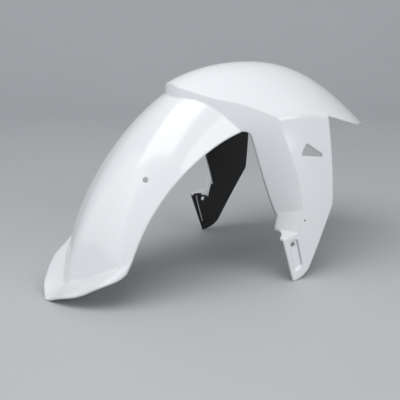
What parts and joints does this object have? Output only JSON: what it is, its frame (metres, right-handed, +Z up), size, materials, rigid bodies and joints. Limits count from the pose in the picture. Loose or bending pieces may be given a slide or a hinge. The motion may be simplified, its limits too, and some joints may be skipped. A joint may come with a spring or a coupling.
{
  "type": "motorcycle front mudguard",
  "caption": "Moulded front mudguard with a raised pointed crown, a flared rear lip and side legs that bolt to the fork.",
  "frame": {"origin": "floor level under the middle of the bounding box, the part standing on its leg tips and rear lip", "axes": "+X forward along the beak, +Y across to the rider's left, +Z up"},
  "size_m": [0.5382, 0.2504, 0.2927],
  "materials": {
    "shell": "gloss white outside, near-black satin inside"
  },
  "bodies": {
    "root": {"mudguard_shell": "shell"}
  },
  "joints": []
}
